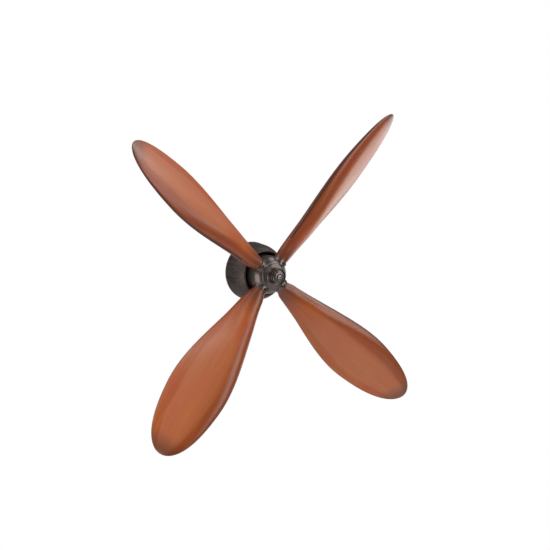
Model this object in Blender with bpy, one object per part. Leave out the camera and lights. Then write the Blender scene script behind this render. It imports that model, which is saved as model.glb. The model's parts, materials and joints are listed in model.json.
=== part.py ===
"""Wall-mounted ornamental propeller: four carved wooden blades in a cast hub that turns on a shaft and
two ball bearings, behind a conical bell cover that is screwed to a wall plate.

The part is modelled in the wall's frame, in millimetres: x to the right, y up, and z out of the wall, with
z = 0 on the wall and the shaft on the z axis. One empty then turns that frame so that +Z is up and the
nose points along -Y. Each mesh is written in metres.
"""

import math

import bmesh
import bpy
from mathutils import Matrix, Vector

MM = 0.001
GAP = 0.3  # left between touching pieces, and the least running clearance

# Driving dimensions, in millimetres and degrees
TIP_RADIUS = 400.0
BLADE_PLANE = 72.0  # from the wall to the plane of the blade roots
BLADE_COUNT = 4
REST_ANGLE = 48.8  # of the first blade, from +X towards +Z
OFF_QUARTER = (0.0, 1.0, 0.5, -1.5)  # how far each blade is off its exact quarter

HUB_RADIUS = 37.5
HUB_REAR = 47.0
HUB_FRONT = 85.5
SHOULDER = 24.0  # radius of the hub's rounded front edge
SHOULDER_START = 65.0
BOSS_RADIUS = 15.2  # of the collar round each blade socket
BOSS_START = 25.2  # both from the shaft's axis
BOSS_END = 35.6
SOCKET_RADIUS = 13.4
SHANK_RADIUS = 13.0
SOCKET_FLOOR = 27.0  # from the shaft's axis to the bottom of a blade socket
STUD_RADIUS = 5.0
STUD_START = 10.5  # both from the shaft's axis
STUD_END = 64.0
LOCK_SCREW_PLACE = 31.8
LOCK_SCREW_RADIUS = 2.0

SHAFT_RADIUS = 6.0
COLLAR_RADIUS = 8.5
SHAFT_REAR = 7.0
SHAFT_FRONT = BLADE_PLANE + 27.2
KEY_ANGLE = REST_ANGLE + 45
KEY_WIDTH = 4.0
KEY_START = 54.0
KEY_LENGTH = 16.0

BEARING_WIDTH = 8.0
BEARING_OUTER_RADIUS = 14.0
BALL_CIRCLE = 10.0
BALL_RADIUS = 1.9
BALL_COUNT = 8
REAR_BEARING = 12.0  # where each bearing starts, from the wall
FRONT_BEARING = 39.0

WALL_PLATE_RADIUS = 52.6
WALL_PLATE_THICKNESS = 3.0
WALL_PLATE_RIM = 12.0  # height of its upstand
WALL_HOLE_CIRCLE = 40.0
WALL_HOLE_RADIUS = 2.75

BELL_LIP_RADIUS = 57.2
BELL_LIP_HEIGHT = 2.6
# The bell's outer face, as (radius, height above the wall), from its lip to its mouth
BELL_RIM = 56.2
BELL_CURVE_END = 52.2  # height above the wall where the curve stops, just short of the mouth
BELL_DRAWN_IN = 11.0  # how much narrower the bell is there
BELL_SWEEP = 3.6  # power of that curve: nearly straight at first, then drawn in
BELL_CURVE = tuple(
    (BELL_RIM - BELL_DRAWN_IN * (height / BELL_CURVE_END) ** BELL_SWEEP, height)
    for height in (3.2, 16.0, 30.0, 41.0, 48.0, BELL_CURVE_END)
)
BELL_MOUTH = 53.0
BELL_MOUTH_RADIUS = 41.8
BELL_WALL = 2.6
BELL_SCREW_HEIGHT = 8.0
BELL_SCREW_ANGLES = (30, 150, 270)

HOUSING_FLANGE_RADIUS = 31.5
HOUSING_TUBE_RADIUS = 18.5
HOUSING_FRONT = 50.0
HOUSING_BOLT_CIRCLE = 25.5

DOME_FLANGE = 24.6
NOSE_RING_RADIUS = 15.8  # stands on the dome, round the cap
NOSE_RING_BORE = 15.0
NOSE_RING_FRONT = BLADE_PLANE + 32.6
NUT_ROOM = 12.2
CAP_RADIUS = 13.0
CAP_REAR = BLADE_PLANE + 28.2
CAP_SEAT = CAP_REAR + 4.2  # under the nose screw's washer
NOSE_SCREW_RADIUS = 2.5

# The blade widens from its round shank to its belly, and thins towards its tip
SHANK_WIDTH = 26.0
BELLY_WIDTH = 124.0
BELLY_AT = 0.70  # share of the tip radius, as the next four are
WIDENS_FROM = -0.02
FULLY_SHAPED = 0.13
THINS_FROM = 0.20
THINS_UNTIL = 1.05
TIP_THICKNESS = 13.0
BLADE_START = (SOCKET_FLOOR + GAP) / TIP_RADIUS
ROUND_UNTIL = 0.09  # share of the tip radius where the shank starts to turn into a blade
AIRFOIL_FROM = 0.40  # and where it is one
PITCH_AT_AXIS = 34.0
PITCH_AT_TIP = 41.0
TIP_SHARPNESS = 5.7  # power of the rounding that closes the tip
LEAN_STRAIGHT = 25.0  # how far the tip leans forward, as a straight part and a bent part
LEAN_BENT = 14.0
FRONT_CAMBER = 0.4  # how much of the thickness is moved from the back to the front
EDGE_BIAS = 0.6  # how far the thickest place moves towards the leading edge

BLADE_RINGS = 16
BLADE_SIDES = 18
TURNED_SIDES = 32
SMALL_SIDES = 12


# ---------------------------------------------------------------- scene and materials


def clear_scene():
    for obj in list(bpy.data.objects):
        bpy.data.objects.remove(obj)


def material(name, colour, roughness, metallic):
    """A Principled material of one linear colour."""
    made = bpy.data.materials.get(name) or bpy.data.materials.new(name)
    made.use_nodes = True
    shader = made.node_tree.nodes["Principled BSDF"]
    shader.inputs["Base Color"].default_value = (*colour, 1.0)
    shader.inputs["Roughness"].default_value = roughness
    shader.inputs["Metallic"].default_value = metallic
    made.diffuse_color = (*colour, 1.0)
    return made


def wood():
    return material("stained_wood", (0.30, 0.085, 0.03), 0.38, 0.0)


def cast_metal():
    return material("cast_metal", (0.065, 0.06, 0.055), 0.42, 0.85)


def bell_metal():
    return material("bell_metal", (0.05, 0.046, 0.043), 0.55, 0.8)


def bright_steel():
    return material("bright_steel", (0.55, 0.55, 0.54), 0.28, 1.0)


def dark_steel():
    return material("dark_steel", (0.10, 0.10, 0.10), 0.35, 0.9)


def felt():
    return material("felt", (0.03, 0.028, 0.025), 0.95, 0.0)


def empty(name, parent=None, location=(0, 0, 0), rotation=(0, 0, 0)):
    made = bpy.data.objects.new(name, None)
    bpy.context.scene.collection.objects.link(made)
    made.parent = parent
    made.location = [value * MM for value in location]
    made.rotation_euler = rotation
    return made


# ---------------------------------------------------------------- solids


def add_object(name, mesh, parent, paint=None, matrix=None):
    """An object with this mesh, placed in its parent's frame by a matrix in metres."""
    made = bpy.data.objects.new(name, mesh)
    bpy.context.scene.collection.objects.link(made)
    made.parent = parent
    if matrix is not None:
        made.matrix_local = matrix
    if paint is not None and not mesh.materials:
        mesh.materials.append(paint)
    return made


def mesh_from(name, bm):
    """Closes a bmesh drawn in millimetres into a smooth-shaded mesh in metres."""
    bmesh.ops.remove_doubles(bm, verts=bm.verts, dist=0.001)
    bmesh.ops.recalc_face_normals(bm, faces=bm.faces)
    bmesh.ops.scale(bm, vec=(MM, MM, MM), verts=bm.verts)
    mesh = bpy.data.meshes.new(name)
    bm.to_mesh(mesh)
    bm.free()
    mesh.shade_smooth()
    mesh.set_sharp_from_angle(angle=math.radians(35))
    return mesh


def turned_mesh(name, profile, sides=TURNED_SIDES, sweep=360.0):
    """A closed profile of (radius, z) points, turned round the z axis. A short sweep gets end faces."""
    bm = bmesh.new()
    points = [bm.verts.new((radius, 0, z)) for radius, z in profile]
    pairs = [pair for pair in zip(points, points[1:] + points[:1]) if pair[0].co.x + pair[1].co.x > 0]
    edges = [bm.edges.new(pair) for pair in pairs]
    bmesh.ops.spin(
        bm,
        geom=points + edges,
        cent=(0, 0, 0),
        axis=(0, 0, 1),
        angle=math.radians(sweep),
        steps=round(sides * sweep / 360.0),
    )
    if sweep < 360.0:
        bmesh.ops.holes_fill(bm, edges=bm.edges, sides=len(profile))
    return mesh_from(name, bm)


def ring_profile(inner, outer, start, end):
    return [(inner, start), (outer, start), (outer, end), (inner, end)]


def box_mesh(name, size, centre):
    bm = bmesh.new()
    bmesh.ops.create_cube(bm, size=1.0)
    bmesh.ops.scale(bm, vec=size, verts=bm.verts)
    bmesh.ops.translate(bm, vec=centre, verts=bm.verts)
    return mesh_from(name, bm)


def boolean(target, tool, operation):
    """Joins or cuts target with tool, which is then hidden from the build."""
    tool.hide_render = True
    tool.display_type = "WIRE"
    modifier = target.modifiers.new(operation.lower(), "BOOLEAN")
    modifier.operation = operation
    modifier.object = tool
    modifier.solver = "EXACT"


def cut(target, mesh, matrix=None):
    tool = add_object(target.name + "_cutter", mesh, target.parent, matrix=matrix)
    boolean(target, tool, "DIFFERENCE")


def join(target, mesh, matrix=None):
    tool = add_object(target.name + "_addition", mesh, target.parent, matrix=matrix)
    boolean(target, tool, "UNION")


def rod_mesh(name, radius, start, end, sides=SMALL_SIDES, phase=8.0):
    """A round rod along z. The phase keeps its corners off the corners of what it cuts."""
    bm = bmesh.new()
    angles = [math.tau * i / sides + math.radians(phase) for i in range(sides)]
    bottom = [bm.verts.new((radius * math.cos(a), radius * math.sin(a), start)) for a in angles]
    lifted = bmesh.ops.extrude_face_region(bm, geom=[bm.faces.new(bottom)])["geom"]
    top = [item for item in lifted if isinstance(item, bmesh.types.BMVert)]
    bmesh.ops.translate(bm, vec=(0, 0, end - start), verts=top)
    return mesh_from(name, bm)


def turned_about_z(angle):
    return Matrix.Rotation(math.radians(angle), 4, "Z")


def moved(x=0.0, y=0.0, z=0.0):
    return Matrix.Translation(Vector((x, y, z)) * MM)


def radial(angle, height=0.0):
    """Takes a shape drawn along z to one that points away from the z axis, at this angle and height."""
    lay_down = Matrix.Rotation(math.radians(90), 4, "Y")
    return turned_about_z(angle) @ moved(z=height) @ lay_down


def on_circle(radius, angle, height=0.0):
    return turned_about_z(angle) @ moved(x=radius, z=height)


# ---------------------------------------------------------------- the fixed side


def wall_plate(parent):
    inner = WALL_PLATE_RADIUS - BELL_WALL
    profile = [
        (0, 0),
        (WALL_PLATE_RADIUS, 0),
        (WALL_PLATE_RADIUS, WALL_PLATE_RIM),
        (inner, WALL_PLATE_RIM),
        (inner, WALL_PLATE_THICKNESS),
        (0, WALL_PLATE_THICKNESS),
    ]
    plate = add_object("wall_plate", turned_mesh("wall_plate", profile), parent, dark_steel())
    hole = rod_mesh("wall_hole", WALL_HOLE_RADIUS, -2, WALL_PLATE_THICKNESS + 2, 12)
    for angle in (90, 210, 330):
        cut(plate, hole, on_circle(WALL_HOLE_CIRCLE, angle))
    tapped = rod_mesh("tapped_hole", 2.0 + GAP, -2.5, WALL_PLATE_THICKNESS + 2, 8)
    for angle in (45, 135, 225, 315):
        cut(plate, tapped, on_circle(HOUSING_BOLT_CIRCLE, angle))
    side_hole = rod_mesh("side_hole", 2.0 + GAP, inner - 3, WALL_PLATE_RADIUS + 3, 8)
    for angle in BELL_SCREW_ANGLES:
        cut(plate, side_hole, radial(angle, BELL_SCREW_HEIGHT))
    return plate


def bell_cover(parent):
    """A rounded cone with a thick lip at the wall and a rolled edge round its mouth."""
    inside = [(radius - BELL_WALL, height - 0.6) for radius, height in reversed(BELL_CURVE)]
    profile = [
        (BELL_LIP_RADIUS - 0.5, 0),
        (BELL_LIP_RADIUS, 0.5),
        (BELL_LIP_RADIUS, BELL_LIP_HEIGHT - 0.5),
        (BELL_LIP_RADIUS - 0.5, BELL_LIP_HEIGHT),
        *BELL_CURVE,
        (BELL_MOUTH_RADIUS + 1.4, BELL_MOUTH),
        (BELL_MOUTH_RADIUS, BELL_MOUTH - 0.6),
        (BELL_MOUTH_RADIUS, BELL_MOUTH - 2.4),
        *inside[1:],
        (BELL_CURVE[0][0] - BELL_WALL, 0),
    ]
    bell = add_object("bell_cover", turned_mesh("bell_cover", profile, 36), parent, bell_metal())
    seat = BELL_CURVE[0][0] - 1.2
    hole = rod_mesh("bell_hole", 2.0 + GAP, seat - 5, seat + 5, 8)
    spot_face = rod_mesh("bell_spot_face", 3.9, seat, seat + 5, 12)
    head = seat + GAP
    screw = round_head_screw_mesh("bell_screw", 2.0, head - 7.0, 3.5, head, 1.9)
    for number, angle in enumerate(BELL_SCREW_ANGLES, 1):
        place = radial(angle, BELL_SCREW_HEIGHT)
        cut(bell, hole, place)
        cut(bell, spot_face, place)
        add_object(f"bell_screw_{number}", screw, parent, dark_steel(), place)


def round_head_screw_mesh(name, shank, tip, head, seat, height):
    """A screw along z: a shank from tip to seat under a low domed head."""
    profile = [
        (0, tip),
        (shank, tip + 0.8),
        (shank, seat),
        (head, seat),
        (head, seat + height * 0.4),
        (head * 0.7, seat + height * 0.85),
        (0, seat + height),
    ]
    return turned_mesh(name, profile, 10)


def socket_screw_mesh(name, shank, tip, head, seat, height, socket, depth):
    """A screw along z with a cylinder head and a six-sided socket in it."""
    profile = [
        (0, tip),
        (shank - 0.5, tip),
        (shank, tip + 0.7),
        (shank, seat),
        (head, seat),
        (head, seat + height - 0.5),
        (head - 0.5, seat + height),
        (0, seat + height),
    ]
    mesh = turned_mesh(name, profile, SMALL_SIDES)
    top = seat + height
    return mesh, rod_mesh(name + "_socket", socket, top - depth, top + 1, 6)


def bearing_housing(parent):
    """A flanged tube with a bearing seat at each end and a shoulder between them."""
    seat = BEARING_OUTER_RADIUS + GAP
    shoulder = 11.5
    rear = WALL_PLATE_THICKNESS + GAP
    rear_stop = REAR_BEARING + BEARING_WIDTH + GAP
    front_stop = FRONT_BEARING - GAP
    groove = FRONT_BEARING + BEARING_WIDTH + 0.2
    profile = [
        (seat, rear),
        (HOUSING_FLANGE_RADIUS, rear),
        (HOUSING_FLANGE_RADIUS, rear + 5),
        (HOUSING_TUBE_RADIUS + 2.5, rear + 5),
        (HOUSING_TUBE_RADIUS, rear + 8),
        (HOUSING_TUBE_RADIUS, HOUSING_FRONT),
        (seat, HOUSING_FRONT),
        (seat, groove + 1.6),
        (seat + 1, groove + 1.6),
        (seat + 1, groove),
        (seat, groove),
        (seat, front_stop),
        (shoulder, front_stop),
        (shoulder, rear_stop),
        (seat, rear_stop),
    ]
    housing = add_object(
        "bearing_housing", turned_mesh("bearing_housing", profile, 24), parent, cast_metal()
    )
    hole = rod_mesh("flange_hole", 2.0 + GAP, rear - 2, rear + 7, 8)
    seat_height = rear + 5 + GAP
    mesh, socket = socket_screw_mesh(
        "housing_screw", 2.0, 0.8, 3.4, seat_height, 3.6, 1.6, 2.0
    )
    for number, angle in enumerate((45, 135, 225, 315), 1):
        place = on_circle(HOUSING_BOLT_CIRCLE, angle)
        cut(housing, hole, place)
        screw = add_object(f"housing_screw_{number}", mesh, parent, dark_steel(), place)
        cut(screw, socket, place)
    ring = turned_mesh(
        "bearing_retaining_ring",
        ring_profile(seat - 2.0, seat + 0.7, groove + GAP, groove + 1.3),
        24,
        sweep=335.0,
    )
    add_object("bearing_retaining_ring", ring, parent, bright_steel(), turned_about_z(102))
    return housing


def raceway(centre_radius, groove_radius, middle, outward):
    """Points of a ball groove's arc, cut into a ring whose face looks along `outward`."""
    points = []
    for step in range(4):
        angle = math.radians(-45 + 30 * step)
        radius = centre_radius - outward * groove_radius * math.cos(angle)
        points.append((radius, middle + groove_radius * math.sin(angle)))
    return points


def bearing(name, start, fixed, rotor):
    """Inner ring on the shaft, outer ring in the housing, and a cage that carries the balls."""
    end = start + BEARING_WIDTH
    middle = (start + end) / 2
    groove = BALL_RADIUS + 0.35
    inner = [
        (SHAFT_RADIUS + GAP, start),
        (8.5, start),
        *raceway(BALL_CIRCLE, groove, middle, 1),
        (8.5, end),
        (SHAFT_RADIUS + GAP, end),
    ]
    outer = [
        (BEARING_OUTER_RADIUS, start),
        (BEARING_OUTER_RADIUS, end),
        (11.5, end),
        *reversed(raceway(BALL_CIRCLE, groove, middle, -1)),
        (11.5, start),
    ]
    steel = bright_steel()
    to_rotor = moved(z=-BLADE_PLANE)
    inner_mesh = turned_mesh(f"{name}_inner_ring", inner, 20)
    outer_mesh = turned_mesh(f"{name}_outer_ring", outer, 24)
    add_object(f"{name}_inner_ring", inner_mesh, rotor, steel, to_rotor)
    add_object(f"{name}_outer_ring", outer_mesh, fixed, steel)

    cage_profile = ring_profile(BALL_CIRCLE - 0.6, BALL_CIRCLE + 0.6, middle - 1.1, middle + 1.1)
    cage = add_object(
        f"{name}_ball_cage", turned_mesh(f"{name}_ball_cage", cage_profile, 24), fixed, steel
    )
    bm = bmesh.new()
    bmesh.ops.create_icosphere(bm, subdivisions=1, radius=BALL_RADIUS)
    ball = mesh_from("ball", bm)
    for index in range(BALL_COUNT):
        join(cage, ball, on_circle(BALL_CIRCLE, index * 360 / BALL_COUNT, middle))


# ---------------------------------------------------------------- the turning side


def shaft(parent):
    """A shaft with a collar against the hub, a tapped nose end, a keyway and a circlip groove."""
    collar_start = FRONT_BEARING + BEARING_WIDTH + GAP
    collar_end = HUB_REAR + 6 - GAP
    groove_end = REAR_BEARING - GAP
    groove_start = groove_end - 1.6
    hole = NOSE_SCREW_RADIUS + GAP
    hole_floor = SHAFT_FRONT - 16
    profile = [
        (0, SHAFT_REAR),
        (SHAFT_RADIUS - 0.6, SHAFT_REAR),
        (SHAFT_RADIUS, SHAFT_REAR + 0.6),
        (SHAFT_RADIUS, groove_start),
        (SHAFT_RADIUS - 0.9, groove_start),
        (SHAFT_RADIUS - 0.9, groove_end),
        (SHAFT_RADIUS, groove_end),
        (SHAFT_RADIUS, collar_start),
        (COLLAR_RADIUS, collar_start),
        (COLLAR_RADIUS, collar_end),
        (SHAFT_RADIUS, collar_end),
        (SHAFT_RADIUS, SHAFT_FRONT - 0.6),
        (SHAFT_RADIUS - 0.6, SHAFT_FRONT),
        (hole, SHAFT_FRONT),
        (hole, hole_floor),
        (0, hole_floor - 1.5),
    ]
    place = moved(z=-BLADE_PLANE)
    made = add_object("shaft", turned_mesh("shaft", profile, 20), parent, bright_steel(), place)
    keyway = box_mesh(
        "shaft_keyway",
        (4, KEY_WIDTH + 2 * GAP, KEY_LENGTH + 2 * GAP),
        (SHAFT_RADIUS - 0.5, 0, KEY_START + KEY_LENGTH / 2),
    )
    cut(made, keyway, place @ turned_about_z(KEY_ANGLE))
    key = box_mesh(
        "hub_key",
        (4.2, KEY_WIDTH, KEY_LENGTH),
        (SHAFT_RADIUS - 2.5 + GAP + 2.1, 0, KEY_START + KEY_LENGTH / 2),
    )
    add_object("hub_key", key, parent, dark_steel(), place @ turned_about_z(KEY_ANGLE))

    clip = turned_mesh(
        "shaft_circlip",
        ring_profile(SHAFT_RADIUS - 0.6, SHAFT_RADIUS + 2.2, groove_start + GAP, groove_end - GAP),
        24,
        sweep=330.0,
    )
    add_object("shaft_circlip", clip, parent, bright_steel(), place)
    spacer = turned_mesh(
        "bearing_spacer",
        ring_profile(
            SHAFT_RADIUS + GAP,
            SHAFT_RADIUS + 2.2,
            REAR_BEARING + BEARING_WIDTH + GAP,
            FRONT_BEARING - GAP,
        ),
        24,
    )
    add_object("bearing_spacer", spacer, parent, bright_steel(), place)
    return made


def blade_angles():
    quarter = 360 / BLADE_COUNT
    return [REST_ANGLE + quarter * index + off for index, off in enumerate(OFF_QUARTER)]


def hub(parent):
    """A barrel with a rounded front, and a boss and a deep round socket for each blade."""
    bore = SHAFT_RADIUS + GAP
    recess = 22.0
    recess_floor = HUB_REAR + 6
    turn = math.asin((HUB_FRONT - SHOULDER_START) / SHOULDER)
    shoulder = [
        (
            HUB_RADIUS - SHOULDER + SHOULDER * math.cos(turn * step / 5),
            SHOULDER_START + SHOULDER * math.sin(turn * step / 5),
        )
        for step in range(6)
    ]
    profile = [
        (bore, recess_floor),
        (recess, recess_floor),
        (recess, HUB_REAR),
        (HUB_RADIUS - 1.5, HUB_REAR),
        (HUB_RADIUS, HUB_REAR + 1.5),
        *shoulder,
        (bore, HUB_FRONT),
    ]
    place = moved(z=-BLADE_PLANE)
    made = add_object("hub", turned_mesh("hub", profile), parent, cast_metal(), place)
    boss = rod_mesh("socket_boss", BOSS_RADIUS, BOSS_START, BOSS_END, 28, 5.0)
    for angle in blade_angles():
        join(made, boss, radial(angle))
    socket = rod_mesh("socket", SOCKET_RADIUS, SOCKET_FLOOR, HUB_RADIUS + 5, 24)
    stud_hole = rod_mesh("stud_hole", STUD_RADIUS + GAP, STUD_START - GAP, SOCKET_FLOOR + 3)
    lock_hole = lock_hole_mesh(SOCKET_RADIUS - 3)
    for angle in blade_angles():
        cut(made, socket, radial(angle))
        cut(made, stud_hole, radial(angle))
        cut(made, lock_hole, on_circle(LOCK_SCREW_PLACE, angle))
    keyway = box_mesh(
        "hub_keyway",
        (4, KEY_WIDTH + 2 * GAP, 60),
        (bore + 0.4, 0, KEY_START + 20),
    )
    cut(made, keyway, place @ turned_about_z(KEY_ANGLE))


def lock_hole_mesh(start):
    return rod_mesh("lock_hole", LOCK_SCREW_RADIUS + GAP, start, BOSS_RADIUS + 3, 8)


def lock_screws(parent):
    """Grub screws that hold each blade's shank in its socket from the front."""
    start = SHANK_RADIUS - 5.0
    end = BOSS_RADIUS - 0.9
    profile = [
        (0, start),
        (LOCK_SCREW_RADIUS, start + 1.2),
        (LOCK_SCREW_RADIUS, end - 0.3),
        (LOCK_SCREW_RADIUS - 0.3, end),
        (0, end),
    ]
    mesh = turned_mesh("blade_lock_screw", profile, 10)
    socket = rod_mesh("lock_screw_socket", 1.1, end - 1.6, end + 1, 6)
    for number, angle in enumerate(blade_angles(), 1):
        place = on_circle(LOCK_SCREW_PLACE, angle)
        screw = add_object(f"blade_lock_screw_{number}", mesh, parent, dark_steel(), place)
        cut(screw, socket, place)


def nose(parent):
    """The dome over the hub nut, and the round cap whose screw goes into the shaft."""
    place = moved(z=-BLADE_PLANE)
    base = HUB_FRONT + GAP
    lip = CAP_REAR - GAP
    lip_back = lip - 2.0
    profile = [
        (DOME_FLANGE, base),
        (DOME_FLANGE, base + 0.6),
        (22.0, base + 2.2),
        (19.0, base + 3.4),
        (17.0, base + 4.3),
        (NOSE_RING_RADIUS, base + 5.6),
        (NOSE_RING_RADIUS, NOSE_RING_FRONT),
        (NOSE_RING_BORE, NOSE_RING_FRONT),
        (NOSE_RING_BORE, lip),
        (11.0, lip),
        (11.0, lip_back),
        (NUT_ROOM, lip_back),
        (NUT_ROOM, base),
    ]
    dome = turned_mesh("nose_dome", profile, 28)
    add_object("nose_dome", dome, parent, cast_metal(), place)

    rim = CAP_REAR + 3.4
    counterbore = 5.2
    crown = CAP_SEAT + 3.2
    cap_profile = [
        (NOSE_SCREW_RADIUS + GAP, CAP_REAR),
        (CAP_RADIUS, CAP_REAR),
        (CAP_RADIUS, rim),
        (CAP_RADIUS - 0.9, rim + 1.2),
        (CAP_RADIUS - 4.0, rim + 2.7),
        (counterbore + 1.6, crown),
        (counterbore, crown),
        (counterbore, CAP_SEAT),
        (NOSE_SCREW_RADIUS + GAP, CAP_SEAT),
    ]
    cap = turned_mesh("nose_cap", cap_profile, 24)
    add_object("nose_cap", cap, parent, cast_metal(), place)

    washer_top = CAP_SEAT + GAP + 0.8
    washer = turned_mesh(
        "nose_washer",
        ring_profile(NOSE_SCREW_RADIUS + GAP, 4.8, CAP_SEAT + GAP, washer_top),
        SMALL_SIDES,
    )
    add_object("nose_washer", washer, parent, bright_steel(), place)
    screw, socket = socket_screw_mesh(
        "nose_screw", NOSE_SCREW_RADIUS, SHAFT_FRONT - 14, 4.2, washer_top + GAP, 3.0, 2.1, 2.0
    )
    made = add_object("nose_screw", screw, parent, bright_steel(), place)
    cut(made, socket, place)

    washer_start = HUB_FRONT + GAP
    nut_start = washer_start + 1.4 + GAP
    hub_washer = turned_mesh(
        "hub_washer", ring_profile(SHAFT_RADIUS + GAP, 11.5, washer_start, washer_start + 1.4), 20
    )
    add_object("hub_washer", hub_washer, parent, bright_steel(), place)
    nut = rod_mesh("hub_nut", 10.4, nut_start, nut_start + 6.0, 6)
    hub_nut = add_object("hub_nut", nut, parent, dark_steel(), place)
    bore = rod_mesh("nut_bore", SHAFT_RADIUS + GAP, nut_start - 2, nut_start + 9, 20)
    cut(hub_nut, bore, place)


def dust_seal(parent):
    """A felt ring in the hub's back that runs round the bearing housing."""
    start = HUB_REAR + 0.5
    end = HUB_REAR + 6 - GAP
    inner = HOUSING_TUBE_RADIUS + GAP
    ring = turned_mesh("dust_seal", ring_profile(inner, 22.0 - GAP, start, end), 24)
    add_object("dust_seal", ring, parent, felt(), moved(z=-BLADE_PLANE))


# ---------------------------------------------------------------- blades


def ease(value, start, end):
    """0 before start, 1 after end, and a smooth step between them."""
    share = min(1.0, max(0.0, (value - start) / (end - start)))
    return share * share * (3 - 2 * share)


def blade_width(share):
    swell = ease(share, WIDENS_FROM, BELLY_AT) * ease(share, ROUND_UNTIL, FULLY_SHAPED)
    return SHANK_WIDTH + (BELLY_WIDTH - SHANK_WIDTH) * swell


def blade_thickness(share):
    return SHANK_WIDTH - (SHANK_WIDTH - TIP_THICKNESS) * ease(share, THINS_FROM, THINS_UNTIL)


def blade_ring(share, sides):
    """The blade's outline at this share of the tip radius. x is along the blade, z towards the nose."""
    closing = math.sqrt(max(0.0, 1 - share**TIP_SHARPNESS))
    half_width = blade_width(share) / 2 * closing
    half_thickness = blade_thickness(share) / 2 * closing
    wing = ease(share, ROUND_UNTIL, AIRFOIL_FROM)
    camber = FRONT_CAMBER * wing
    pitch = math.radians(PITCH_AT_AXIS + (PITCH_AT_TIP - PITCH_AT_AXIS) * share)
    lean = (LEAN_STRAIGHT * share + LEAN_BENT * share * share) * ease(share, ROUND_UNTIL, 0.3)
    ring = []
    for index in range(sides):
        angle = math.tau * index / sides
        across = half_width * math.cos(angle)
        egg = 1 + EDGE_BIAS * wing * math.cos(angle)
        side = 1 + camber if math.sin(angle) > 0 else 1 - camber
        through = half_thickness * math.sin(angle) * egg * side
        ring.append(
            (
                TIP_RADIUS * share,
                across * math.cos(pitch) - through * math.sin(pitch),
                lean + across * math.sin(pitch) + through * math.cos(pitch),
            )
        )
    return ring


def blade_mesh():
    """A round shank, then rings that lie closer together towards the tip."""
    bm = bmesh.new()
    shares = [BLADE_START] + [
        ROUND_UNTIL + (0.9985 - ROUND_UNTIL) * (1 - (1 - i / BLADE_RINGS) ** 1.6)
        for i in range(BLADE_RINGS + 1)
    ]
    rings = [[bm.verts.new(p) for p in blade_ring(share, BLADE_SIDES)] for share in shares]
    for near, far in zip(rings, rings[1:]):
        for index in range(BLADE_SIDES):
            after = (index + 1) % BLADE_SIDES
            bm.faces.new((near[index], near[after], far[after], far[index]))
    bm.faces.new(rings[0])
    bm.faces.new(rings[-1])
    return mesh_from("blade", bm)


def blades(parent):
    """Four alike blades, each on a steel stud that goes from the hub's core into the wood."""
    mesh = blade_mesh()
    stud_hole = rod_mesh("blade_hole", STUD_RADIUS + GAP, SOCKET_FLOOR - 3, STUD_END + GAP)
    stud = turned_mesh(
        "blade_stud",
        [
            (0, STUD_START),
            (STUD_RADIUS - 0.7, STUD_START),
            (STUD_RADIUS, STUD_START + 0.7),
            (STUD_RADIUS, STUD_END - 0.7),
            (STUD_RADIUS - 0.7, STUD_END),
            (0, STUD_END),
        ],
        SMALL_SIDES,
    )
    lock_hole = lock_hole_mesh(SHANK_RADIUS - 5.0 - GAP)
    for number, angle in enumerate(blade_angles(), 1):
        blade = add_object(f"blade_{number}", mesh, parent, wood(), turned_about_z(angle))
        cut(blade, stud_hole, radial(angle))
        cut(blade, lock_hole, on_circle(LOCK_SCREW_PLACE, angle))
        add_object(f"blade_stud_{number}", stud, parent, bright_steel(), radial(angle))


# ---------------------------------------------------------------- the whole part


def build():
    clear_scene()
    wall = empty("wall_frame", rotation=(math.radians(90), 0, 0))
    fixed = empty("fixed_side", wall)
    rotor = empty("rotor", wall, location=(0, 0, BLADE_PLANE))
    wall_plate(fixed)
    bell_cover(fixed)
    bearing_housing(fixed)
    bearing("rear_bearing", REAR_BEARING, fixed, rotor)
    bearing("front_bearing", FRONT_BEARING, fixed, rotor)
    shaft(rotor)
    hub(rotor)
    dust_seal(rotor)
    lock_screws(rotor)
    nose(rotor)
    blades(rotor)


build()
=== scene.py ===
"""The looks of a wall-mounted propeller: four carved and varnished wooden blades, a dark cast hub with a
domed nose, and a spun steel bell that covers the bearings.

Every piece is drawn in the wall's frame, in millimetres: x to the right, y up, and z out of the wall, with
the shaft on the z axis. MAKE_REAL turns that frame into the model's own, in metres.
"""

import json
import math

import bmesh
import bpy
from mathutils import Matrix, Vector


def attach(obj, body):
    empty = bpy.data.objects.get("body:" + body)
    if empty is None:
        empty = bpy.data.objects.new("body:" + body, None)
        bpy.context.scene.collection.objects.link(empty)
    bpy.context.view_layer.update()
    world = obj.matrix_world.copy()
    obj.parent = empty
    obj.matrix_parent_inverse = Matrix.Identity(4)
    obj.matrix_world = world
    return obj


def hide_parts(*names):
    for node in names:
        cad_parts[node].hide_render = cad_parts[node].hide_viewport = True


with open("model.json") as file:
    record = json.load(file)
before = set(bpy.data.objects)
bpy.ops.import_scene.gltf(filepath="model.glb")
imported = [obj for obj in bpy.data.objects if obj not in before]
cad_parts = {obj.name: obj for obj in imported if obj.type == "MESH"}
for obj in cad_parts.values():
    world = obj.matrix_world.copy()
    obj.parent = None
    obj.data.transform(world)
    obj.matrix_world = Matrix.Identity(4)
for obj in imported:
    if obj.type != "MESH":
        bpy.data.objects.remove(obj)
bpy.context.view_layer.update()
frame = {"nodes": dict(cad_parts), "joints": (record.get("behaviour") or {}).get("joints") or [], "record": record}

MM = 0.001
MAKE_REAL = Matrix.Rotation(math.radians(90), 4, "X") @ Matrix.Scale(MM, 4)

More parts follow.
